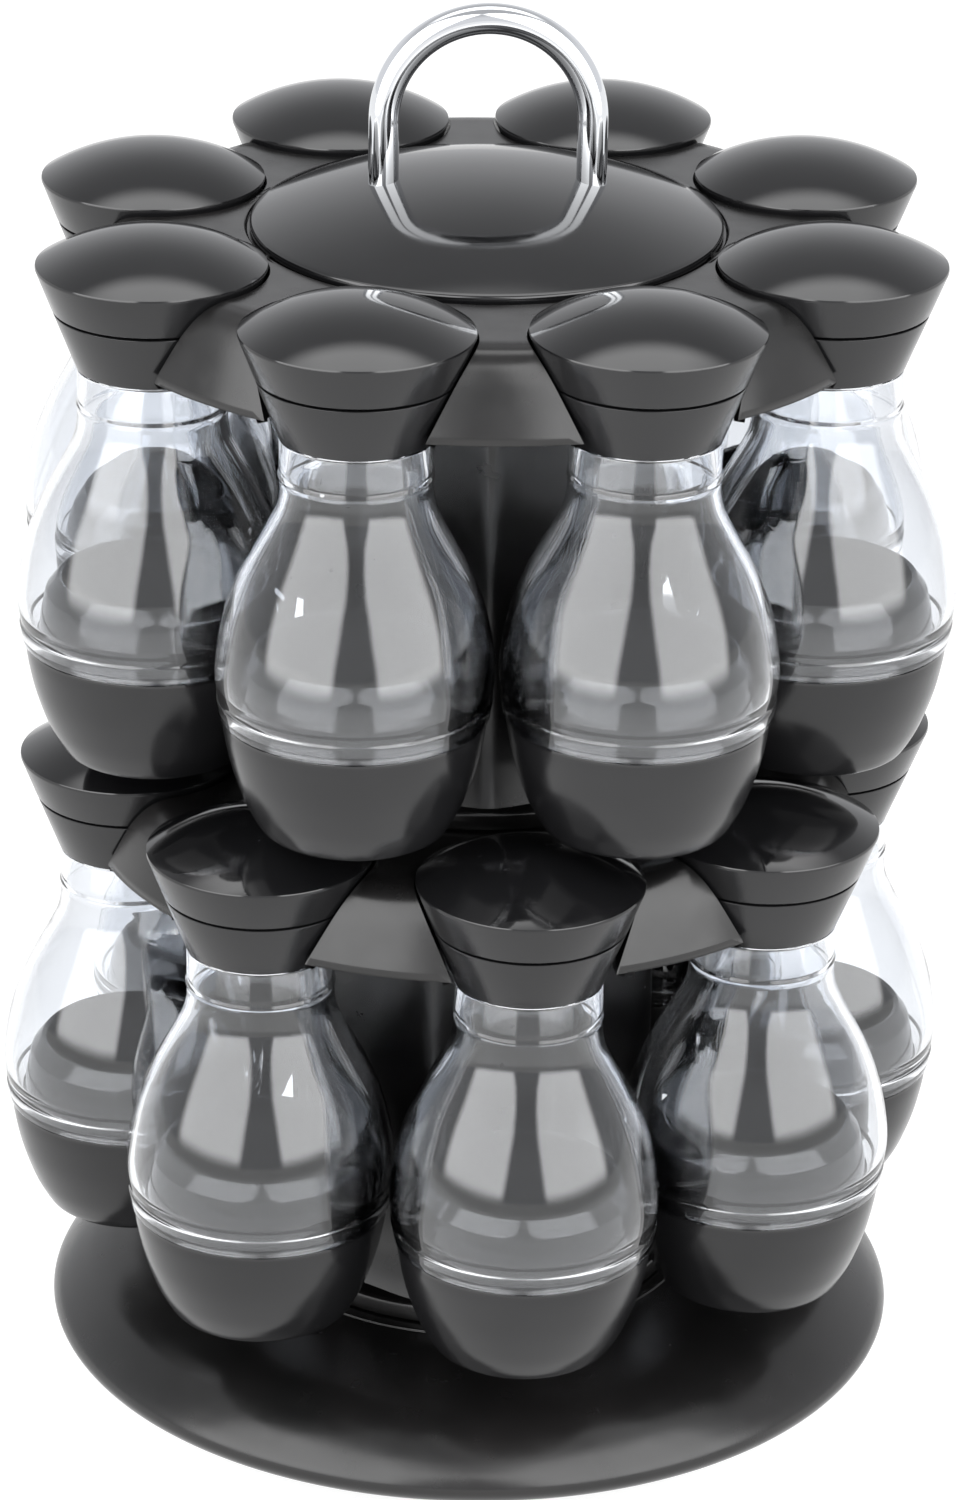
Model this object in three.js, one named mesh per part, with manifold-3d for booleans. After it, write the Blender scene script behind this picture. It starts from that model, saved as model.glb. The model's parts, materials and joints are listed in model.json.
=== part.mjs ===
// Two-tier revolving spice rack: sixteen hanging jars on a turning column, with a carrying handle.
// Millimetres, +Z up, origin on the table under the middle of the base.

import * as THREE from "three";
import { mergeVertices } from "three/addons/utils/BufferGeometryUtils.js";
import Module from "manifold-3d";

const wasm = await Module();
wasm.setup();

// Driving dimensions
const baseRadius = 86;
const plinthTop = 20; // top of the raised ring in the middle of the base
const plinthRadius = 45.2;
const upperRim = 238.6; // height of the upper jars' widest lid edge
const tierPitch = 107.8; // lower tier below the upper one
const lowerRim = upperRim - tierPitch;
const jarCount = 8; // jars in one tier
const jarRing = 69.2; // radius of the circle of jar axes
const lowerTurn = 5.64; // degrees that the lower tier has turned from its half-step place
const gap = 0.3; // clearance between pieces that touch
const wall = 2; // moulded plastic wall

const lidRadius = 21.85;
const lidCrown = 6.2;
const capBottom = -19.9;
const neckRadius = 12.6;
const shoulderRadius = 14.2;
const bodyRadius = 25.9;
const seamBelowRim = -75;
const jarBottom = -98.1;

const plateRadius = 77;
const plateBottom = -17.5; // all tier heights are measured from the lid rim plane
const deckLevel = -1.2;
const seatLevel = -2; // sunk seat in the middle of a plate
const seatRadius = 46.2;
const notchFoot = 15.6; // notch half width at the bottom edge of the plate
const notchSlope = 0.4; // how fast a notch widens with height
const notchReach = 30; // how far the cutter of a notch runs outwards

const columnRidge = 37.5;
const columnFoot = 42.5;
const footHeight = 3.7;
const boltRadius = 4;
const hubRadius = 8; // tube under a plate that centres it in the column's top

const coverRadius = 45.4;
const coverCrown = 9.5;
const coverEdge = 1.5;
const handleHalf = 19.9; // half the distance between the handle's legs
const handleCentre = 258.3;
const rodRadius = 2.95;
const nutRadius = 5.6;
const nutBottom = 238.8;

const roundSides = 32;
const jarSides = 10;
const step = 360 / jarCount;
const radians = Math.PI / 180;

const plastic = { color: 0x2c2c2e, metalness: 0 };
const materials = {
  satin: new THREE.MeshStandardMaterial({ ...plastic, roughness: 0.42 }),
  gloss: new THREE.MeshStandardMaterial({ ...plastic, roughness: 0.12 }),
  clear: new THREE.MeshStandardMaterial({ color: 0xe9eaee, roughness: 0.05, opacity: 0.35, transparent: true }),
  chrome: new THREE.MeshStandardMaterial({ color: 0xd8dadd, roughness: 0.08, metalness: 1 }),
  steel: new THREE.MeshStandardMaterial({ color: 0x9a9c9f, roughness: 0.35, metalness: 1 }),
  rubber: new THREE.MeshStandardMaterial({ color: 0x1b1b1c, roughness: 0.9, metalness: 0 }),
};

const rack = new THREE.Group();

function addPiece(name, geometry, material, parent = rack) {
  const mesh = new THREE.Mesh(geometry, material);
  mesh.name = name;
  parent.add(mesh);
}

// A profile of [radius, height] points carried round the Z axis.
function turned(profile, sides) {
  const points = profile.map(([radius, height]) => new THREE.Vector2(radius, height));
  return new THREE.LatheGeometry(points, sides).rotateX(Math.PI / 2);
}

// A ring or tube: the same, with the profile closed on itself.
function turnedRing(profile, sides) {
  return turned([...profile, profile[0]], sides);
}

function toSolid(geometry) {
  const bare = geometry.clone();
  bare.deleteAttribute("normal");
  bare.deleteAttribute("uv");
  const merged = mergeVertices(bare, 1e-4);
  return new wasm.Manifold(new wasm.Mesh({
    numProp: 3,
    vertProperties: new Float32Array(merged.attributes.position.array),
    triVerts: new Uint32Array(merged.index.array),
  }));
}

function toGeometry(solid) {
  const mesh = solid.getMesh();
  const geometry = new THREE.BufferGeometry();
  geometry.setAttribute("position", new THREE.BufferAttribute(mesh.vertProperties, 3));
  geometry.setIndex(new THREE.BufferAttribute(mesh.triVerts, 1));
  geometry.computeVertexNormals();
  return geometry;
}

function post(radius, bottom, top, sides) {
  return turned([[0, bottom], [radius, bottom], [radius, top], [0, top]], sides);
}

function jarAngles(phase) {
  return Array.from({ length: jarCount }, (unused, i) => phase + i * step);
}

// Base: a round dish, hollow underneath, with a raised plinth and a boss for the centre bolt.
function makeBase() {
  const washerSeat = plinthTop - 2.4;
  const grooveTop = 3;
  const outside = [
    [78, 1.2], [83.5, 2.8], [baseRadius, 7], [85, 10], [82, 13.2], [76, 14.6], [plinthRadius, 18.2],
    [plinthRadius, plinthTop], [41, plinthTop], [41, washerSeat], [boltRadius + 0.4, washerSeat],
  ];
  const underneath = [
    [boltRadius + 0.4, 4], [9, 4], [9, washerSeat - 2.4], [42, washerSeat - 2.4], [75, 11.6],
    [77, 8], [68, 4.6], [68, 1.2], [69.5, 1.2], [69.5, grooveTop], [77, grooveTop], [77, 1.2],
  ];
  addPiece("base_dish", turnedRing([...outside, ...underneath], roundSides), materials.satin);
  const ring = [[69.8, 0], [76.7, 0], [76.7, grooveTop - gap], [69.8, grooveTop - gap]];
  addPiece("foot_ring", turnedRing(ring, roundSides), materials.rubber);
  const washer = [
    [14, washerSeat + gap], [36, washerSeat + gap], [36, plinthTop - 0.1], [14, plinthTop - 0.1],
  ];
  addPiece("thrust_washer", turnedRing(washer, roundSides / 2), materials.clear);
}

// Centre bolt: a long rod screwed into the base, whose head holds the tiers down.
function makeBolt() {
  const headBottom = upperRim + seatLevel + gap;
  const profile = [
    [0, 6], [boltRadius, 6], [boltRadius, headBottom], [8.5, headBottom], [8.5, headBottom + 2.4],
    [0, headBottom + 2.4],
  ];
  addPiece("centre_bolt", turned(profile, jarSides), materials.steel);
}

// Column: an eight-sided hollow post with its ridges under the arms, on a round foot.
function makeColumn(name, bottom, top, turn) {
  const flat = Math.cos(Math.PI / jarCount); // an eight-sided ring's flat radius over its ridge radius
  const inner = columnRidge - wall / flat;
  const bore = (hubRadius + gap) / flat;
  const shell = [
    [columnRidge + 4, bottom + footHeight - 0.5], [columnRidge + 1.6, bottom + 12],
    [columnRidge, bottom + 28], [columnRidge, top], [bore, top], [bore, top - 2.4], [inner, top - 2.4],
    [inner, bottom + footHeight - 0.5],
  ];
  const foot = [
    [inner - 2, bottom], [columnFoot, bottom], [columnFoot, bottom + footHeight],
    [inner - 2, bottom + footHeight],
  ];
  const solid = toSolid(turnedRing(shell, jarCount)).add(toSolid(turnedRing(foot, roundSides)));
  const geometry = toGeometry(solid).rotateZ(turn * radians);
  addPiece(name, geometry, materials.satin);
}

// Notch cutter: a U in plan, open outwards, that widens upwards like the jar's collar.
function notchSolid(extra, bottom, top) {
  const arcSteps = 8;
  const outline = (height) => {
    const half = notchFoot + notchSlope * (height - plateBottom) + extra;
    const arc = Array.from({ length: arcSteps + 1 }, (unused, i) => {
      const angle = Math.PI / 2 + Math.PI * i / arcSteps;
      return [jarRing + half * Math.cos(angle), half * Math.sin(angle), height];
    });
    return [...arc, [jarRing + notchReach, -half, height], [jarRing + notchReach, half, height]];
  };
  const low = outline(bottom);
  const high = outline(top);
  const count = low.length;
  const faces = [];
  for (let i = 0; i < count; i += 1) {
    const next = (i + 1) % count;
    faces.push(i, next, next + count, i, next + count, i + count);
  }
  for (let i = 1; i < count - 1; i += 1) {
    faces.push(0, i + 1, i, count, count + i, count + i + 1);
  }
  return new wasm.Manifold(new wasm.Mesh({
    numProp: 3,
    vertProperties: new Float32Array([...low, ...high].flat()),
    triVerts: new Uint32Array(faces),
  }));
}

// Tier plate: a thin round deck with a turned-down skirt and eight notches with walls of their own.
function makePlate(name, rim, phase) {
  const skin = [
    [67, deckLevel - 0.2], [70.8, -2.6], [73.4, -6], [plateRadius, plateBottom],
  ];
  const under = [[75, plateBottom], [71.2, -6.6], [68, -4.2]];
  const bore = boltRadius + 0.6;
  const shell = [
    [bore, -16], [hubRadius, -16], [hubRadius, -4.2], ...under.reverse(),
    ...[...skin].reverse(), [seatRadius, deckLevel], [seatRadius, seatLevel], [bore, seatLevel],
  ];
  const block = [[0, plateBottom], ...[...skin].reverse(), [seatRadius, -1.4], [0, -1.4]];
  const envelope = toSolid(turned(block, roundSides));
  const columnRoom = toSolid(post(seatRadius, plateBottom - 1, 0, roundSides));
  const notchWall = notchSolid(wall, plateBottom - 1, 2);
  const notch = notchSolid(0, plateBottom - 2, 4);
  let walls = null;
  let notches = null;
  for (const angle of jarAngles(phase)) {
    const wallHere = notchWall.rotate([0, 0, angle]);
    const notchHere = notch.rotate([0, 0, angle]);
    walls = walls ? walls.add(wallHere) : wallHere;
    notches = notches ? notches.add(notchHere) : notchHere;
  }
  const inside = walls.intersect(envelope).subtract(columnRoom);
  const plate = toSolid(turnedRing(shell, roundSides)).add(inside).subtract(notches);
  addPiece(name, toGeometry(plate).translate(0, 0, rim), materials.satin);
}

// Cap: a domed lid on a conical collar that screws over the neck. Heights are from the lid rim.
function capGeometry() {
  const capBore = neckRadius / Math.cos(Math.PI / jarSides) + gap;
  return turned([
    [0, -1.2], [17.4, -1.2], [17, -6.6], [capBore, -6.6], [capBore, capBottom], [14.3, capBottom],
    [lidRadius, 0], [11.5, lidCrown * 0.72], [0, lidCrown],
  ], jarSides);
}

// Bottle: a clear pear-shaped wall, open at the neck and at the bottom.
function bottleGeometry() {
  const thick = 1.5;
  return turnedRing([
    [24, seamBelowRim], [25.1, seamBelowRim], [bodyRadius, -66], [23.6, -52], [15.4, -35],
    [shoulderRadius, capBottom - gap], [neckRadius, capBottom - gap], [neckRadius, -7],
    [neckRadius - thick, -7], [neckRadius - thick, -32], [23.6 - thick, -53], [bodyRadius - thick, -66],
  ], jarSides);
}

// Cup: the jar's black bottom, with a sleeve that plugs into the bottle.
function cupGeometry() {
  const seam = seamBelowRim - gap;
  return turned([
    [0, jarBottom], [17, jarBottom], [22.2, -86.8], [24.6, seam], [22.9, seam], [22.6, -70.5], [21.3, -64.8],
    [18.4, -62], [17.4, -63], [20.4, -71], [20.4, -85], [15, -95.8], [0, -95.8],
  ], jarSides);
}

const jarShapes = [
  ["cap", capGeometry(), materials.gloss],
  ["bottle", bottleGeometry(), materials.clear],
  ["cup", cupGeometry(), materials.satin],
];

// One tier of jars, hanging by their collars in the notches.
function makeJars(tier, rim, phase) {
  jarAngles(phase).forEach((angle, i) => {
    const jar = new THREE.Group();
    jar.position.set(jarRing * Math.cos(angle * radians), jarRing * Math.sin(angle * radians), rim);
    jar.rotation.z = angle * radians;
    rack.add(jar);
    for (const [part, geometry, material] of jarShapes) {
      addPiece(`${tier}_${part}_${i + 1}`, geometry, material, jar);
    }
  });
}

// Cover: a shallow dome over the bolt head, pierced for the handle's legs.
function makeCover() {
  const ring = upperRim + seatLevel + gap;
  const rimTop = ring + coverEdge;
  const rise = (radius, crown) => crown * (1 - (radius / coverRadius) ** 2);
  const outer = [32, 17, 0].map((radius) => [radius, rimTop + rise(radius, coverCrown)]);
  const inner = [0, 17, 32].map((radius) => [radius, rimTop - wall + rise(radius, coverCrown)]);
  const profile = [
    ...inner, [coverRadius - wall, rimTop - wall + 1], [coverRadius - wall, ring], [coverRadius, ring],
    [coverRadius, rimTop], ...outer,
  ];
  let cover = toSolid(turned(profile, roundSides));
  for (const side of [-1, 1]) {
    const hole = toSolid(post(rodRadius + gap, ring, rimTop + coverCrown, jarSides));
    cover = cover.subtract(hole.translate([side * handleHalf, 0, 0]));
  }
  addPiece("top_cover", toGeometry(cover), materials.gloss);
}

// The handle's centre line: up one leg, over a half circle and down the other.
class HandleCurve extends THREE.Curve {
  constructor(footLevel) {
    super();
    this.leg = handleCentre - footLevel;
    this.arc = Math.PI * handleHalf;
    this.footLevel = footLevel;
  }

  getPoint(t, target = new THREE.Vector3()) {
    const along = t * (2 * this.leg + this.arc);
    if (along <= this.leg) return target.set(-handleHalf, 0, this.footLevel + along);
    if (along >= this.leg + this.arc) {
      return target.set(handleHalf, 0, handleCentre - (along - this.leg - this.arc));
    }
    const angle = Math.PI - (along - this.leg) / handleHalf;
    return target.set(handleHalf * Math.cos(angle), 0, handleCentre + handleHalf * Math.sin(angle));
  }
}

function makeHandle() {
  const footLevel = upperRim + seatLevel + 1.4;
  const sides = 8;
  const section = new THREE.Shape(Array.from({ length: sides }, (unused, i) => new THREE.Vector2(
    rodRadius * Math.cos(2 * Math.PI * i / sides),
    rodRadius * Math.sin(2 * Math.PI * i / sides),
  )));
  const path = new HandleCurve(footLevel);
  const rod = new THREE.ExtrudeGeometry(section, { steps: 24, extrudePath: path });
  addPiece("handle", rod, materials.chrome);
  const nutSides = 6;
  const bore = (rodRadius + gap) / Math.cos(Math.PI / nutSides);
  const nut = [[bore, nutBottom], [nutRadius, nutBottom], [nutRadius, nutBottom + 3], [bore, nutBottom + 3]];
  for (const [name, side] of [["handle_nut_left", -1], ["handle_nut_right", 1]]) {
    addPiece(name, turnedRing(nut, nutSides).translate(side * handleHalf, 0, 0), materials.steel);
  }
}

const upperPhase = step / 2;
const lowerPhase = lowerTurn;
const underPlate = -4.2 - gap;

makeBase();
makeBolt();
makeColumn("lower_column", plinthTop + gap, lowerRim + underPlate, lowerPhase + step / 2);
makePlate("lower_plate", lowerRim, lowerPhase);
makeJars("lower", lowerRim, lowerPhase);
makeColumn("upper_column", lowerRim + seatLevel + gap, upperRim + underPlate, upperPhase + step / 2);
makePlate("upper_plate", upperRim, upperPhase);
makeJars("upper", upperRim, upperPhase);
makeCover();
makeHandle();

export default rack;
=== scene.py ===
# Revolving spice rack: two tiers of clear jars hanging by black conical caps, with a chrome rod handle.
import json
import math

import bmesh
import bpy
import numpy as np
from mathutils import Matrix, Vector


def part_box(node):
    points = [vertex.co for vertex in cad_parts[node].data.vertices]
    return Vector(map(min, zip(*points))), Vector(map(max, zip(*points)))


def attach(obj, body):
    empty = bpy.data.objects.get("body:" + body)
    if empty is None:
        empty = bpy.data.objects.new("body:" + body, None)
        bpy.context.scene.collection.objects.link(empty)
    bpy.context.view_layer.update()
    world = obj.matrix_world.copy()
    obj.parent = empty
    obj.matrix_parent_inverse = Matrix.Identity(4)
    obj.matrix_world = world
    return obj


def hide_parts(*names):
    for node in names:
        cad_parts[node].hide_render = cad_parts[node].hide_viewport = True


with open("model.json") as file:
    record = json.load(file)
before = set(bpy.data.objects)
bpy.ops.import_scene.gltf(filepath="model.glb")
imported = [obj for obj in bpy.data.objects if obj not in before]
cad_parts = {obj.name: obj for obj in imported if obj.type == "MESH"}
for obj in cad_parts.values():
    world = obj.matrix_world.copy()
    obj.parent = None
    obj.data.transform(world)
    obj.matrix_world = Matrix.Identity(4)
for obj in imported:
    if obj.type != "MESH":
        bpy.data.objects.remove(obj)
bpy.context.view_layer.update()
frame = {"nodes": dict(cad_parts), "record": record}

mm = 0.001
tiers = ("upper", "lower")
jarsPerTier = 8
nodeBody = {node: body for body, nodes in frame["record"]["behaviour"]["bodies"].items() for node in nodes}


def linear(code):
    # sRGB hex to linear red, green, blue and alpha
    parts = [int(code[i:i + 2], 16) / 255 for i in (1, 3, 5)]
    return [c / 12.92 if c <= 0.04045 else ((c + 0.055) / 1.055) ** 2.4 for c in parts] + [1.0]


def addNode(tree, kind, settings=None, links=None):
    # one node, its settings by attribute or socket name, and links as {socket: (node, output)}
    node = tree.nodes.new(kind)
    for key, value in (settings or {}).items():
        if isinstance(key, str) and hasattr(node, key):
            setattr(node, key, value)
        else:
            node.inputs[key].default_value = value
    for key, (source, output) in (links or {}).items():
        tree.links.new(source.outputs[output], node.inputs[key])
    return node


def startMaterial(name, shader):
    material = bpy.data.materials.new(name)
    material.use_nodes = True
    tree = material.node_tree
    tree.nodes.clear()
    place = addNode(tree, "ShaderNodeTexCoord")
    surface = addNode(tree, "ShaderNodeBsdfPrincipled", shader)
    addNode(tree, "ShaderNodeOutputMaterial", links={"Surface": (surface, "BSDF")})
    return material, tree, place, surface


def noise(tree, place, size, detail=3.0):
    # size is the grain's width in millimetres
    return addNode(tree, "ShaderNodeTexNoise", {"Scale": 1000 / size, "Detail": detail},
                   {"Vector": (place, "Object")})


def spread(tree, source, low, high):
    # a noise stays mostly between 0.3 and 0.7; that stretch is brought onto low to high
    return addNode(tree, "ShaderNodeMapRange", {
        "From Min": 0.3, "From Max": 0.7, "To Min": low, "To Max": high}, {"Value": (source, "Fac")})


def mouldedPlastic(name, look):
    # moulded plastic or rubber: a body colour that varies slightly, a soft skin, and faint handling marks
    material, tree, place, surface = startMaterial(name, {"IOR": look["ior"]})
    flow = noise(tree, place, look["flowSize"], 2.0)
    colour = addNode(tree, "ShaderNodeValToRGB", links={"Fac": (flow, "Fac")})
    shades = (look["dark"], look["light"])
    for stop, position, shade in zip(colour.color_ramp.elements, (0.35, 0.65), shades):
        stop.position = position
        stop.color = linear(shade)
    tree.links.new(colour.outputs["Color"], surface.inputs["Base Color"])
    marks = noise(tree, place, look["markSize"], 5.0)
    rough = spread(tree, marks, look["smooth"], look["rough"])
    tree.links.new(rough.outputs["Result"], surface.inputs["Roughness"])
    grain = noise(tree, place, look["grainSize"], 2.0)
    bump = addNode(tree, "ShaderNodeBump", {"Strength": look["grain"], "Distance": look["depth"] * mm},
                   {"Height": (grain, "Fac")})
    tree.links.new(bump.outputs["Normal"], surface.inputs["Normal"])
    return material


glossLook = {"dark": "#0c0c0d", "light": "#121213", "ior": 1.59, "smooth": 0.05, "rough": 0.11,
             "flowSize": 30, "markSize": 9, "grainSize": 2.5, "grain": 0.12, "depth": 0.03}
satinLook = {"dark": "#0f0f0f", "light": "#151414", "ior": 1.5, "smooth": 0.2, "rough": 0.28,
             "flowSize": 25, "markSize": 7, "grainSize": 0.5, "grain": 0.25, "depth": 0.03}
sheenLook = {"dark": "#131314", "light": "#19191a", "ior": 1.46, "smooth": 0.16, "rough": 0.24,
             "flowSize": 28, "markSize": 8, "grainSize": 0.6, "grain": 0.18, "depth": 0.02}
rubberLook = {"dark": "#101010", "light": "#171717", "ior": 1.5, "smooth": 0.75, "rough": 0.9,
              "flowSize": 8, "markSize": 3, "grainSize": 0.4, "grain": 0.5, "depth": 0.05}
# polystyrene from a polished mould: mirror-like gloss with a slight orange peel
glossPlastic = mouldedPlastic("polished_black_polystyrene", glossLook)
# ABS from a finely sparked mould: soft broad highlights
satinPlastic = mouldedPlastic("satin_black_abs", satinLook)
# ABS from a draw-polished mould: highlights between the two
sheenPlastic = mouldedPlastic("draw_polished_black_abs", sheenLook)
# nitrile rubber from a plain mould: dull all over, with a fine grain
rubber = mouldedPlastic("matte_black_rubber", rubberLook)


clearLook = {"tint": "#f3f5f8", "ior": 1.57, "smooth": 0.015, "rough": 0.09, "waveSize": 14, "wave": 0.15,
             "waveDepth": 0.2, "scuffSize": 1.1, "scuffed": (0.66, 0.72)}


def clearPlastic():
    # injection-moulded clear polystyrene: bright edges, slow waves in the wall, and a few small scuffs
    look = clearLook
    material, tree, place, surface = startMaterial("clear_moulded_polystyrene", {
        "Base Color": linear(look["tint"]), "IOR": look["ior"], "Transmission Weight": 1.0})
    scuffs = noise(tree, place, look["scuffSize"], 4.0)
    # only the noise's rare peaks are scuffed
    few = addNode(tree, "ShaderNodeMapRange", {
        "From Min": look["scuffed"][0], "From Max": look["scuffed"][1], "To Min": look["smooth"],
        "To Max": look["rough"]}, {"Value": (scuffs, "Fac")})
    tree.links.new(few.outputs["Result"], surface.inputs["Roughness"])
    waves = noise(tree, place, look["waveSize"], 1.0)
    bump = addNode(tree, "ShaderNodeBump", {"Strength": look["wave"], "Distance": look["waveDepth"] * mm},
                   {"Height": (waves, "Fac")})
    tree.links.new(bump.outputs["Normal"], surface.inputs["Normal"])
    return material


def metal(name, look):
    # polished or plated metal: its roughness varies with fine wiping marks
    material, tree, place, surface = startMaterial(name, {
        "Base Color": linear(look["colour"]), "Metallic": 1.0})
    marks = noise(tree, place, look["markSize"], 4.0)
    wiped = spread(tree, marks, look["smooth"], look["rough"])
    tree.links.new(wiped.outputs["Result"], surface.inputs["Roughness"])
    return material


clearWall = clearPlastic()
chromeLook = {"colour": "#dfe1e4", "smooth": 0.03, "rough": 0.08, "markSize": 6}
zincLook = {"colour": "#a9abad", "smooth": 0.28, "rough": 0.4, "markSize": 2}
# chrome plate on a polished steel rod: a bright mirror with faint wiping marks
chrome = metal("chrome_plated_rod", chromeLook)
# zinc-plated steel: dull grey, blurred reflections
zincSteel = metal("zinc_plated_steel", zincLook)
acetalLook = {"dark": "#d2d0c8", "light": "#dcdad3", "ior": 1.48, "smooth": 0.35, "rough": 0.5,
              "flowSize": 12, "markSize": 4, "grainSize": 0.5, "grain": 0.2, "depth": 0.02}
# moulded natural acetal: off-white and waxy
acetal = mouldedPlastic("natural_acetal", acetalLook)
print("materials made")


def smoothLine(points, steps):
    # Catmull-Rom curve through the points: each span is a cubic whose end slopes follow its neighbours
    p = np.array(points, float)
    ends = np.vstack([2 * p[0] - p[1], p, 2 * p[-1] - p[-2]])
    t = np.linspace(0, 1, steps, endpoint=False)[None, :, None]
    a, b, c, d = (ends[i:len(ends) - 3 + i][:, None, :] for i in range(4))
    bend = (2 * a - 5 * b + 4 * c - d) * t ** 2 + (3 * b - a - 3 * c + d) * t ** 3
    spans = 0.5 * (2 * b + (c - a) * t + bend)
    return np.vstack([spans.reshape(-1, 2), p[-1:]])


def filleted(points, radii, steps=4):
    # a polyline whose corners are cut by quadratic arcs that start and end a radius away from the corner
    p = np.array(points, float)
    line = [p[:1]]
    t = np.linspace(0, 1, steps + 1)[:, None]
    for before, corner, after, radius in zip(p[:-2], p[1:-1], p[2:], radii):
        if radius == 0:
            line.append(corner[None])
            continue
        start = corner + (before - corner) * radius / np.linalg.norm(before - corner)
        end = corner + (after - corner) * radius / np.linalg.norm(after - corner)
        line.append((1 - t) ** 2 * start + 2 * t * (1 - t) * corner + t ** 2 * end)
    return np.vstack(line + [p[-1:]])


def gridFaces(rows, columns, wrapRows, wrapColumns):
    # quads between neighbouring rows and columns of a grid numbered row by row
    i = np.arange(rows if wrapRows else rows - 1)[:, None]
    j = np.arange(columns if wrapColumns else columns - 1)[None, :]
    nextRow, nextColumn = (i + 1) % rows, (j + 1) % columns
    corners = [i * columns + j, i * columns + nextColumn, nextRow * columns + nextColumn,
               nextRow * columns + j]
    return np.stack([c.ravel() for c in np.broadcast_arrays(*corners)], 1)


def carried(profile, sides, shape=None, weight=None):
    # each profile point (r, z) goes once round the axis: x = r k cos t, y = r k sin t,
    # with k = 1 + weight (shape(t) - 1)
    r, z = np.array(profile, float).T
    t = np.linspace(0, 2 * math.pi, sides, endpoint=False)
    k = 1 if shape is None else 1 + np.array(weight, float)[:, None] * (shape(t)[None, :] - 1)
    radius = r[:, None] * k * np.ones(sides)
    points = np.stack([radius * np.cos(t), radius * np.sin(t), np.broadcast_to(z[:, None], radius.shape)], 2)
    return points.reshape(-1, 3), gridFaces(len(r), sides, r[0] > 0, True)


def signedVolume(points, faces):
    a, b, c, d = (points[faces[:, i]] for i in range(4))
    return float((np.cross(a, b) * c).sum() + (np.cross(a, c) * d).sum()) / 6


def makePiece(name, points, faces, materials, node, sharp=32, faceSlots=None, skin=False):
    # points in metres; doubled points are merged, so poles close. A closed piece faces outwards by its
    # volume, an open skin by its highest faces. The piece rides on its node's body and stands in for it
    if not skin and signedVolume(points, faces) < 0:
        faces = faces[:, ::-1]
    mesh = bpy.data.meshes.new(name)
    mesh.from_pydata(points.tolist(), [], faces.tolist())
    if faceSlots is not None:
        mesh.polygons.foreach_set("material_index", np.asarray(faceSlots, np.int32))
    work = bmesh.new()
    work.from_mesh(mesh)
    bmesh.ops.remove_doubles(work, verts=work.verts, dist=2e-6)
    if skin:
        bmesh.ops.recalc_face_normals(work, faces=work.faces)
        if sum(f.normal.z * f.calc_area() for f in work.faces) < 0:
            bmesh.ops.reverse_faces(work, faces=work.faces)
    work.to_mesh(mesh)
    work.free()
    mesh.polygons.foreach_set("use_smooth", np.ones(len(mesh.polygons), bool))
    mesh.set_sharp_from_angle(angle=math.radians(sharp))
    piece = bpy.data.objects.new(name, mesh)
    bpy.context.scene.collection.objects.link(piece)
    for material in materials:
        mesh.materials.append(material)
    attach(piece, nodeBody[node])
    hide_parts(node)
    return piece


def moved(points, place, turn=0.0):
    # millimetres to metres, turned about Z and put at a place in metres
    c, s = math.cos(turn), math.sin(turn)
    x, y, z = (points * mm).T
    return np.stack([x * c - y * s + place[0], x * s + y * c + place[1], z + place[2]], 1)


view = {"azimuth": -2.98, "distance": 1049.0, "height": 590.1, "pitch": 23.805, "roll": 0.954, "lens": 138.1}


def makeCamera():
    # horizontally it looks at the spin axis, from in front and a little to the left
    turn, pitch, roll = (math.radians(view[key]) for key in ("azimuth", "pitch", "roll"))
    back = Vector((math.sin(turn) * math.cos(pitch), -math.cos(turn) * math.cos(pitch), math.sin(pitch)))
    right = Vector((math.cos(turn), math.sin(turn), 0))
    up = back.cross(right)
    tiltedRight = right * math.cos(roll) + up * math.sin(roll)
    tiltedUp = up * math.cos(roll) - right * math.sin(roll)
    camera = bpy.data.objects.new("camera", bpy.data.cameras.new("camera"))
    away = view["distance"]
    place = Vector((math.sin(turn) * away, -math.cos(turn) * away, view["height"])) * mm
    turned = Matrix((tiltedRight, tiltedUp, back)).transposed().to_4x4()
    camera.matrix_world = Matrix.Translation(place) @ turned
    camera.data.lens = view["lens"]
    camera.data.sensor_width = 36
    camera.data.clip_end = 20
    bpy.context.scene.collection.objects.link(camera)
    bpy.context.scene.camera = camera


studio = {"softboxes": {  # place and size in metres, brightness in the middle, and the share that fades
              "left_softbox": ((-0.47, -0.425, 0.55), (0.95, 1.1), 3.8, 0.22),
              "right_softbox": ((0.425, -0.47, 0.55), (0.95, 1.1), 3.8, 0.22),
              "top_softbox": ((0.0, 0.26, 1.6), (2.4, 0.85), 2.7, 0.75)},
          "aim": 0.3, "sky": "#f6f7fa", "skyLow": 0.95, "skyHigh": 0.6,
          "floor": "#808080", "glow": "#ffffff", "floorGlow": 0.9}


def fadeOut(tree, fade):
    # brightness over a softbox: each side's distance from the rim, eased from 0 to 1, and the two multiplied
    where = addNode(tree, "ShaderNodeNewGeometry")
    middle = addNode(tree, "ShaderNodeVectorMath", {"operation": "SUBTRACT", 1: (0.5, 0.5, 0)},
                     {0: (where, "Parametric")})
    reach = addNode(tree, "ShaderNodeVectorMath", {"operation": "ABSOLUTE"}, {0: (middle, "Vector")})
    sides = addNode(tree, "ShaderNodeSeparateXYZ", links={"Vector": (reach, "Vector")})
    easing = {"interpolation_type": "SMOOTHSTEP", "From Min": 0.5 * (1 - fade), "From Max": 0.5,
              "To Min": 1.0, "To Max": 0.0}
    eased = [addNode(tree, "ShaderNodeMapRange", easing, {"Value": (sides, side)}) for side in ("X", "Y")]
    return addNode(tree, "ShaderNodeMath", {"operation": "MULTIPLY"},
                   {0: (eased[0], "Result"), 1: (eased[1], "Result")})


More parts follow.
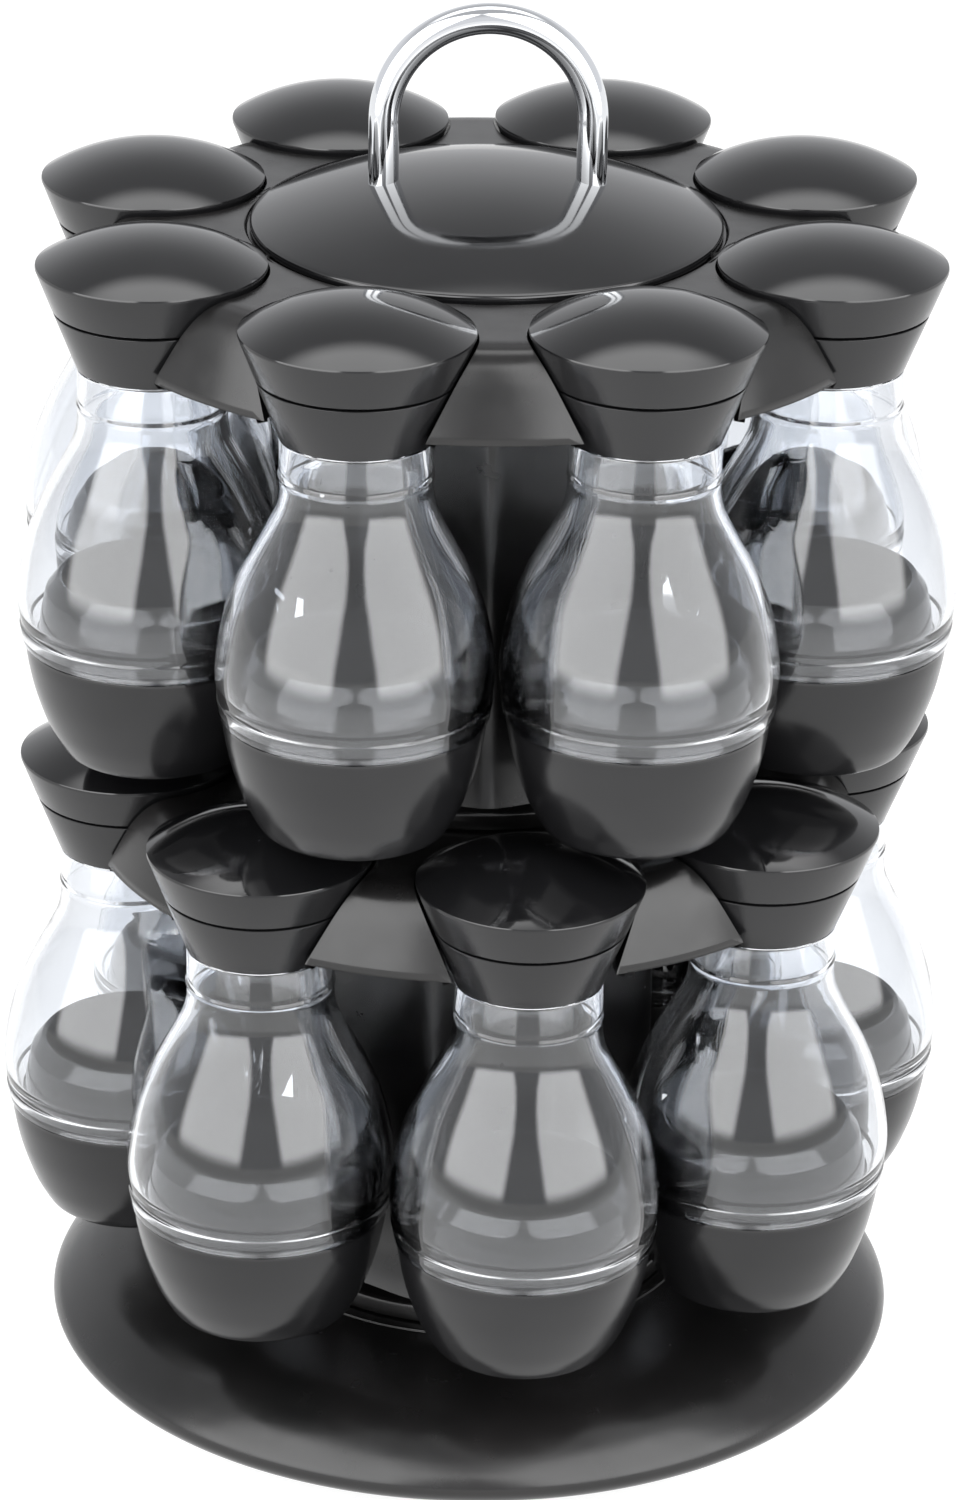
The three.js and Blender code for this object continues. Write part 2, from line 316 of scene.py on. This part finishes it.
def makeLights():
    for name, (place, size, brightness, fade) in studio["softboxes"].items():
        lamp = bpy.data.lights.new(name, "AREA")
        lamp.shape = "RECTANGLE"
        lamp.size, lamp.size_y = size
        lamp.energy = brightness * math.pi * size[0] * size[1]
        lamp.use_nodes = True
        glow = fadeOut(lamp.node_tree, fade)
        lamp.node_tree.links.new(glow.outputs["Value"], lamp.node_tree.nodes["Emission"].inputs["Strength"])
        holder = bpy.data.objects.new(name, lamp)
        holder.location = place
        holder.rotation_mode = "QUATERNION"
        holder.rotation_quaternion = (Vector((0, 0, studio["aim"])) - Vector(place)).to_track_quat("-Z", "Y")
        bpy.context.scene.collection.objects.link(holder)
    world = bpy.data.worlds.new("studio")
    world.use_nodes = True
    sky = world.node_tree.nodes["Background"]
    sky.inputs["Color"].default_value = linear(studio["sky"])
    # the room is lighter near the horizon than overhead
    heading = addNode(world.node_tree, "ShaderNodeTexCoord")
    height = addNode(world.node_tree, "ShaderNodeSeparateXYZ", links={"Vector": (heading, "Generated")})
    fall = addNode(world.node_tree, "ShaderNodeMapRange", {
        "interpolation_type": "SMOOTHSTEP", "From Min": 0.3, "From Max": 0.8, "To Min": studio["skyLow"],
        "To Max": studio["skyHigh"]}, {"Value": (height, "Z")})
    world.node_tree.links.new(fall.outputs["Result"], sky.inputs["Strength"])
    bpy.context.scene.world = world
    bpy.context.scene.view_settings.view_transform = "Standard"


def makeFloor():
    # a flat sheet z = 0, grid of two by two
    half = 10.0  # metres
    corners = np.array([[-half, -half, 0], [half, -half, 0], [-half, half, 0], [half, half, 0]])
    mesh = bpy.data.meshes.new("floor")
    mesh.from_pydata(corners.tolist(), [], gridFaces(2, 2, False, False).tolist())
    floor = bpy.data.objects.new("floor", mesh)
    bpy.context.scene.collection.objects.link(floor)
    material, tree, place, surface = startMaterial("pale_floor", {
        "Base Color": linear(studio["floor"]), "Roughness": 0.8, "Emission Color": linear(studio["glow"]),
        "Emission Strength": studio["floorGlow"]})
    mesh.materials.append(material)


makeCamera()
makeLights()
makeFloor()
print("camera, lights and floor made")


# heights in a jar are measured from its lid's rim
lid = {"radius": 21.85, "crown": 6.2, "bottom": -8.25, "lowRadius": 18.85, "wall": 1.8, "rimRound": 0.35,
       "domeIn": 0.12, "domeUp": 0.1, "hollowRadius": 19.45, "hollowCrown": 4.6, "hollowBase": -1.2}
collar = {"top": -8.75, "topRadius": 18.65, "bottom": -19.9, "radius": 14.35, "bore": 13.0}
bottle = {"wall": 1.6, "neck": 12.6, "neckTop": -7.0, "neckFoot": -20.2,
          "foot": [(24.1, -74.9), (25.3, -74.9), (25.85, -71.5)],
          "lip": [(14.5, -27.4), (14.2, -26.6), (14.2, -20.2)],
          "throat": [(11.0, -20.0), (12.4, -26.0)], "innerFoot": [(23.5, -71.0), (23.1, -74.9)],
          "outline": [(25.55, -71.0), (26.05, -68.3), (26.15, -65.4), (25.8, -62), (25.1, -58), (24.1, -54),
                      (22.7, -50), (20.95, -46), (18.85, -42), (16.7, -38), (15.05, -34.4), (14.35, -31.2),
                      (14.2, -28.2)]}
cup = {"bottom": -98.1, "corner": 1.3,
       "outline": [(24.75, -75.3), (24.45, -78.2), (23.75, -82), (22.9, -85.5), (21.7, -89.2), (20.3, -92.8),
                   (18.6, -96.0), (17.3, -98.1)],
       "sleeve": [(22.9, -75.3), (22.1, -71.0), (20.7, -64.8), (18.4, -62.0), (17.5, -62.4), (20.0, -70.0)],
       "inside": [(20.0, -70.0), (20.9, -75), (20.9, -80), (20.3, -85), (18.6, -90.5), (15.8, -95.2)],
       "floor": [(10, -95.9), (0, -95.9)]}
jarSides = 96


def offsetInwards(line, thickness):
    # every point moved along its own normal, which lies left of the line's direction
    slope = np.gradient(line, axis=0)
    slope /= np.linalg.norm(slope, axis=1)[:, None]
    return line + np.stack([-slope[:, 1], slope[:, 0]], 1) * thickness


def dome(radius, crown, base, steps, top=True):
    # a spherical cap over a circle: z = base + sqrt(R^2 - r^2) - (R - crown), and the ball's radius R is
    # (radius^2 + crown^2) / 2 crown
    ball = (radius ** 2 + crown ** 2) / (2 * crown)
    r = radius * np.cos(np.linspace(0, math.pi / 2, steps))
    r[-1] = 0
    line = np.stack([r, base + np.sqrt(ball ** 2 - r ** 2) - (ball - crown)], 1)
    return line if top else line[::-1]


def lidProfile():
    size = lid
    domeRadius = size["radius"] - size["domeIn"]
    outer = dome(domeRadius, size["crown"] - size["domeUp"], size["domeUp"], 20)
    side = filleted([(size["lowRadius"] - size["wall"], size["bottom"]), (size["lowRadius"], size["bottom"]),
                     (size["radius"], -size["rimRound"]), (domeRadius, size["domeUp"])], [0.3, 0.25])
    inner = dome(size["hollowRadius"], size["hollowCrown"], size["hollowBase"], 8, top=False)
    return np.vstack([inner, side, outer[1:]]), len(inner) + len(side) - 2


def collarProfile():
    size = collar
    return filleted([(size["bore"], size["bottom"]), (size["radius"], size["bottom"]),
                     (size["topRadius"], size["top"]), (size["bore"], size["top"]),
                     (size["bore"], size["bottom"])], [0.3, 0.3, 0])[:-1]


def bottleProfile():
    # foot bead, body and neck outside, then down the bore and the inner wall, back to the foot
    size = bottle
    body = smoothLine(size["outline"], 4)
    foot = filleted([*size["foot"], body[0]], [0.25, 0.3])
    bore = size["neck"] - size["wall"]
    neck = filleted([body[-1], *size["lip"], (size["neck"], size["neckFoot"]),
                     (size["neck"], size["neckTop"]), (bore, size["neckTop"]), *size["throat"]],
                    [0.2, 0.2, 0.3, 0.2, 0.3, 0.3, 0.5], 3)
    inside = offsetInwards(body, size["wall"])[::-1]
    return np.vstack([foot[:-1], body[:-1], neck, inside[:-3], size["innerFoot"]])


def cupProfile():
    # bottom and side, over the sleeve that plugs into the bottle, and down the inside
    outer = smoothLine(cup["outline"], 5)[::-1]
    under = filleted([(0, cup["bottom"]), outer[0], outer[5]], [cup["corner"]])
    rim = filleted([outer[-2], cup["outline"][0], *cup["sleeve"]], [0.2, 0.1, 0.6, 0.4, 0.4, 0.2])
    inner = smoothLine(cup["inside"], 3)
    outside = np.vstack([under[:-1], outer[5:-2]])
    return np.vstack([outside, rim[:-1], inner, cup["floor"]]), len(outside)


def makeJar(tier, number):
    capLow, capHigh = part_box(f"{tier}_cap_{number}")
    axis = (capLow + capHigh) / 2
    place = (axis.x, axis.y, capHigh.z - lid["crown"] * mm)
    turn = math.atan2(axis.y, axis.x)
    capNode, bottleNode, cupNode = (f"{tier}_{part}_{number}" for part in ("cap", "bottle", "cup"))
    profile, rimIndex = lidProfile()
    points, faces = carried(profile, jarSides)
    # the dome is polished, the ring below its edge is satin
    band = (np.arange(len(faces)) // jarSides < rimIndex).astype(int)
    makePiece(f"{tier}_jar{number}_lid", moved(points, place, turn), faces, [glossPlastic, sheenPlastic],
              capNode, faceSlots=band)
    points, faces = carried(collarProfile(), jarSides)
    makePiece(f"{tier}_jar{number}_collar", moved(points, place, turn), faces, [sheenPlastic],
              capNode)
    points, faces = carried(bottleProfile(), jarSides)
    makePiece(f"{tier}_jar{number}_bottle", moved(points, place, turn), faces, [clearWall],
              bottleNode, sharp=50)
    profile, seamIndex = cupProfile()
    points, faces = carried(profile, jarSides)
    # the cup's outside is satin, its sleeve inside the clear wall is polished
    band = (np.arange(len(faces)) // jarSides >= seamIndex).astype(int)
    makePiece(f"{tier}_jar{number}_cup", moved(points, place, turn), faces, [sheenPlastic, glossPlastic],
              cupNode, faceSlots=band)


for tier in tiers:
    for number in range(1, jarsPerTier + 1):
        makeJar(tier, number)
print("jars made")


plate = {"foot": -17.5, "deck": -1.2, "seat": -2.0, "seatRadius": 46.2, "hole": 4.6, "wall": 1.8,
         "shoulder": [(67.0, -1.2), (69.6, -1.85), (71.6, -3.4), (73.15, -5.8), (74.4, -8.9), (77.0, -17.5)],
         "notchFoot": 15.6, "notchSlope": 0.4, "edgeRound": 0.55, "across": 13, "deckRings": 24}


def notchWidth(height):
    return plate["notchFoot"] + plate["notchSlope"] * (height - plate["foot"])


def notchAngle(r, z, ring):
    # half the angle that a notch takes out of the circle of radius r at height z: the notch is a circle of
    # radius w round the jar's axis, and past that axis two straight sides w from its radial line
    w = notchWidth(z)
    onCircle = np.arccos(np.clip((r ** 2 + ring ** 2 - w ** 2) / (2 * r * ring), -1, 1))
    onSide = np.arcsin(np.clip(w / r, -1, 1))
    return np.where(r <= ring - w, 0, np.where(r * np.cos(onCircle) <= ring, onCircle, onSide))


def plateSkin(ring, jarAngles):
    # top skin: point (r, z) of the section at angle arm + u (22.5 degrees - notch angle), u from -1 to 1.
    # notch walls: at each height a path round the notch, cut to length by the section
    size = plate
    step = math.pi / jarsPerTier
    start = ring - notchWidth(size["deck"])
    # the seat for a column's foot or the cover, with its edges eased by up to 0.3 mm
    seat, seatRadius = size["seat"], size["seatRadius"]
    middle = np.array([(size["hole"], seat), (25, seat), (seatRadius - 0.3, seat), (seatRadius, seat + 0.2),
                       (seatRadius, size["deck"] - 0.2), (seatRadius + 0.3, size["deck"])])
    flat = start + (size["shoulder"][0][0] - start) * np.linspace(0, 1, size["deckRings"]) ** 2
    deck = np.stack([flat, np.full(size["deckRings"], size["deck"])], 1)
    fall = smoothLine(size["shoulder"], 6)
    section = np.vstack([middle, deck, fall[1:]])
    r, z = section[:, :1], section[:, 1:]
    half = step - notchAngle(r, z, ring)
    u = np.linspace(-1, 1, size["across"])[None, :]
    w = notchWidth(fall[:, 1])[:, None]
    outer = fall[:, :1]
    endCosine = (outer ** 2 - ring ** 2 - w ** 2) / (2 * ring * w)
    onArc = w * (math.pi - np.arccos(np.clip(endCosine, -1, 1)))
    length = np.where(endCosine <= 0, onArc, w * math.pi / 2 + np.sqrt(outer ** 2 - w ** 2) - ring)
    deckWidth = notchWidth(size["deck"])
    deckCosine = np.clip((flat ** 2 - ring ** 2 - deckWidth ** 2) / (2 * ring * deckWidth), -1, 1)
    share = deckWidth * (math.pi - np.arccos(deckCosine)) / length[0, 0]
    share = np.concatenate([-share[:0:-1], share])[None, :]
    travel = np.abs(share) * length
    around = math.pi - np.minimum(travel / w, math.pi / 2)
    along = ring + w * np.cos(around) + np.maximum(travel - w * math.pi / 2, 0)
    aside = w * np.sin(around) * np.sign(share)
    height = np.broadcast_to(fall[:, 1:], along.shape)
    allPoints, allFaces, count = [], [], 0
    for angle in jarAngles:
        arm = angle + step
        top = np.stack([r * np.cos(arm + u * half), r * np.sin(arm + u * half), z + 0 * u], 2)
        side = np.stack([along * math.cos(angle) - aside * math.sin(angle),
                         along * math.sin(angle) + aside * math.cos(angle), height], 2)
        for grid in (top, side):
            allPoints.append(grid.reshape(-1, 3))
            allFaces.append(gridFaces(*grid.shape[:2], False, False) + count)
            count += grid.shape[0] * grid.shape[1]
    return np.vstack(allPoints), np.vstack(allFaces)


def makePlate(tier):
    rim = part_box(f"{tier}_plate")[0].z - plate["foot"] * mm
    axes = [sum(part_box(f"{tier}_cap_{k}"), Vector()) / 2 for k in range(1, jarsPerTier + 1)]
    angles = [math.atan2(p.y, p.x) for p in axes]
    ring = math.hypot(axes[0].x, axes[0].y) / mm
    points, faces = plateSkin(ring, angles)
    piece = makePiece(f"{tier}_tier_plate", moved(points, (0, 0, rim)), faces, [satinPlastic],
                      f"{tier}_plate", skin=True)
    soften = piece.modifiers.new("soften", "BEVEL")
    soften.width = plate["edgeRound"] * mm
    soften.segments = 3
    soften.limit_method = "ANGLE"
    soften.angle_limit = math.radians(35)
    thicken = piece.modifiers.new("thicken", "SOLIDIFY")
    thicken.thickness = plate["wall"] * mm
    thicken.offset = -1


for tier in tiers:
    makePlate(tier)
print("tier plates made")


column = {"face": 34.65, "flare": 4.4, "flareHeight": 27.0, "footRadius": 42.5, "footHeight": 3.7,
          "footBore": 30, "floor": (4, 6), "wall": 2.0, "top": 2.4, "topBore": 10,
          "ridgeSharpness": 30, "sides": 192}


def eightSided(t):
    # radius of a rounded octagon over its face distance: (sum of max(0, cos(t - face))^p)^(-1/p)
    faces = np.arange(8)[:, None] * math.pi / 4
    p = column["ridgeSharpness"]
    return (np.maximum(0, np.cos(t[None, :] - faces)) ** p).sum(0) ** (-1 / p)


def makeColumn(tier):
    node = f"{tier}_column"
    low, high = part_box(node)
    size = column
    height = (high.z - low.z) / mm
    faceTurn = math.atan2(*(sum(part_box(f"{tier}_cap_1"), Vector()) / 2).yx)
    # above the foot the flare thins out as a parabola
    rise = np.linspace(size["footHeight"], size["flareHeight"], 14)
    flare = size["flare"] * np.linspace(1, 0, 14) ** 2
    lift = 0.4  # the foot's top slopes up by this much to the shaft
    foot = filleted([(size["footBore"], 0), (size["footRadius"], 0),
                     (size["footRadius"], size["footHeight"]),
                     (size["face"] + size["flare"], size["footHeight"] + lift)], [0.3, 0.9])
    shaft = np.stack([size["face"] + flare, rise + lift], 1)
    inner, under = size["face"] - size["wall"], height - size["top"]
    rest = np.array([(size["face"], height), (size["topBore"], height), (size["topBore"], under),
                     (inner, under), (inner, size["floor"][1]), (size["footBore"], size["floor"][0])])
    profile = np.vstack([foot[:-1], shaft, rest])
    weight = np.concatenate([np.zeros(len(foot) - 1), np.ones(len(shaft) + 1), [0, 0], np.ones(2), [0]])
    points, faces = carried(profile, size["sides"], eightSided, weight)
    makePiece(f"{tier}_post", moved(points, (0, 0, low.z), faceTurn), faces, [satinPlastic],
              node, sharp=28)


for tier in tiers:
    makeColumn(tier)
print("columns made")


base = {"sides": 256,
        "rim": [(79.0, 2.5), (82.3, 3.8), (84.9, 5.3), (86.0, 7.4), (85.3, 9.6), (83.0, 11.9), (80.0, 14.1),
                (76.8, 15.9), (72.8, 17.3), (66.5, 18.3), (57.0, 19.0), (47.2, 19.4)],
        "plinth": 45.2, "plinthTop": 20.0, "seat": 17.6, "seatRadius": 41.0, "hole": 4.4,
        "underside": [(4.4, 4), (9, 4), (9, 15.2), (42, 15.2), (74, 12.2), (76.6, 8.5), (68, 4.8)],
        "groove": [(68, 1.2), (69.5, 1.2), (69.5, 3), (77, 3), (77, 1.8)], "ringBore": 69.8}


def makeBase():
    size = base
    rim = smoothLine(size["rim"], 7)
    step = filleted([size["rim"][-1], (size["plinth"], 19.5), (size["plinth"], size["plinthTop"]),
                     (size["seatRadius"], size["plinthTop"]), (size["seatRadius"], size["seat"]),
                     (size["hole"], size["seat"]), *size["underside"], *size["groove"]],
                    [0.2, 0.25, 0.4, 0.2] + [0] * 12)
    points, faces = carried(np.vstack([rim[:-1], step]), size["sides"])
    makePiece("round_base", points * mm, faces, [satinPlastic], "base_dish")
    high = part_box("foot_ring")[1]
    inner, outer, top = size["ringBore"], high.x / mm, high.z / mm
    ring = filleted([(inner, top), (inner, 0), (outer, 0), (outer, top), (inner, top)], [0.6, 0.6, 0.3])[:-1]
    points, faces = carried(ring, size["sides"])
    makePiece("non_slip_ring", points * mm, faces, [rubber], "foot_ring")


makeBase()
print("base made")


cover = {"radius": 45.4, "crown": 9.5, "edge": 1.5, "wall": 2.0, "domeIn": 0.9, "domeUp": 0.5, "sides": 192}


def makeCover():
    size = cover
    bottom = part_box("top_cover")[0].z / mm
    rim = bottom + size["edge"]
    domeRadius, domeBase = size["radius"] - size["domeIn"], rim + size["domeUp"]
    edge = filleted([(size["radius"] - size["wall"], bottom), (size["radius"], bottom),
                     (size["radius"], rim + 0.1), (domeRadius, domeBase)], [0.4, 0.5])
    outer = dome(domeRadius, size["crown"] - size["domeUp"], domeBase, 40)
    inner = dome(size["radius"] - size["wall"], size["crown"] - size["wall"], rim - 0.4, 14, top=False)
    points, faces = carried(np.vstack([inner, edge, outer[1:]]), size["sides"])
    makePiece("domed_cover", points * mm, faces, [glossPlastic], "top_cover")


handle = {"rod": 2.95, "half": 19.9, "centre": 258.3, "legSteps": 11, "bends": 64, "around": 32}


def makeHandle():
    # a circle of the rod's radius carried up one leg, over a half circle and down the other:
    # p = c + rod (cos a n + sin a y), n being the path's outward normal
    size = handle
    legSteps, half = size["legSteps"], size["half"]
    turn = np.linspace(math.pi, 0, size["bends"])
    leg = np.linspace(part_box("handle")[0].z / mm, size["centre"], legSteps, endpoint=False)
    x = np.concatenate([np.full(legSteps, -half), half * np.cos(turn), np.full(legSteps, half)])
    z = np.concatenate([leg, size["centre"] + half * np.sin(turn), leg[::-1]])
    normal = np.concatenate([np.full(legSteps, math.pi), turn, np.zeros(legSteps)])
    end = np.array([0.0, 0.92, 1.0])  # each end closes over three rings
    scale = np.concatenate([end, np.ones(len(x) - 2), end[::-1]])
    pad = [0, 0, *range(len(x)), len(x) - 1, len(x) - 1]
    x, z, normal = x[pad][:, None], z[pad][:, None], normal[pad][:, None]
    rod = size["rod"] * scale[:, None]
    a = np.linspace(0, 2 * math.pi, size["around"], endpoint=False)[None, :]
    points = np.stack([x + rod * np.cos(a) * np.cos(normal), rod * np.sin(a) + 0 * x,
                       z + rod * np.cos(a) * np.sin(normal)], 2).reshape(-1, 3)
    faces = gridFaces(len(x), size["around"], False, True)
    makePiece("rod_handle", points * mm, faces, [chrome], "handle", sharp=50)


makeCover()
makeHandle()
print("cover and handle made")


# hidden pieces that stay as they are
for node, material in (("centre_bolt", zincSteel), ("thrust_washer", acetal), ("handle_nut_left", zincSteel),
                       ("handle_nut_right", zincSteel)):
    holder = frame["nodes"][node]
    holder.data.materials.clear()
    holder.data.materials.append(material)
print("finishes given to the hidden pieces")
